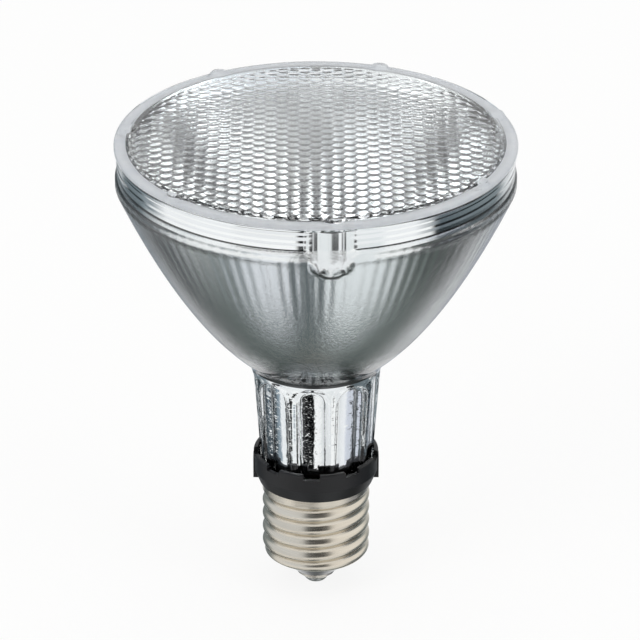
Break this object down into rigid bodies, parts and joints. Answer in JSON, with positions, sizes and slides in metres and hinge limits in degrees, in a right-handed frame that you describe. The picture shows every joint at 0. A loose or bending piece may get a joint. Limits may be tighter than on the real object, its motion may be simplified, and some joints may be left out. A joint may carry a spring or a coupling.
{
  "type": "par spotlight bulb",
  "caption": "Reflector spotlight bulb with a prismatic glass lens, an aluminised bowl on a fluted neck, a black collar and a screw cap.",
  "frame": {"origin": "flat tip of the centre contact's solder, on the lamp's axis", "axes": "+Z along the lamp's axis from the cap to the lens, -Y the front of the picture, the collar's two ears on +X and -X"},
  "size_m": [0.0964, 0.0967, 0.1212],
  "materials": {
    "solder": "dull",
    "contact_plate": "nickel plated",
    "insulator_glass": "glossy",
    "cap_shell": "nickel plated",
    "cement": "matt",
    "collar": "semi-gloss",
    "mirrored_glass": "aluminised",
    "seal": "dull",
    "lens_glass": "clear",
    "quartz": "clear",
    "arc_ceramic": "translucent",
    "wire": "drawn",
    "foil": "dull",
    "getter": "matt"
  },
  "bodies": {
    "root": {"contact_solder": "solder", "centre_contact": "contact_plate", "base_insulator": "insulator_glass", "screw_shell": "cap_shell", "cap_cement": "cement", "insulating_collar": "collar", "reflector": "mirrored_glass", "lens_seal": "seal", "front_lens": "lens_glass", "capsule_cement": "cement", "quartz_capsule": "quartz", "arc_tube": "arc_ceramic", "upper_feedthrough": "wire", "lower_feedthrough": "wire", "left_foil": "foil", "right_foil": "foil", "return_lead": "wire", "short_lead": "wire", "shell_lead": "wire", "contact_lead": "wire", "getter_strip": "getter"}
  },
  "joints": []
}
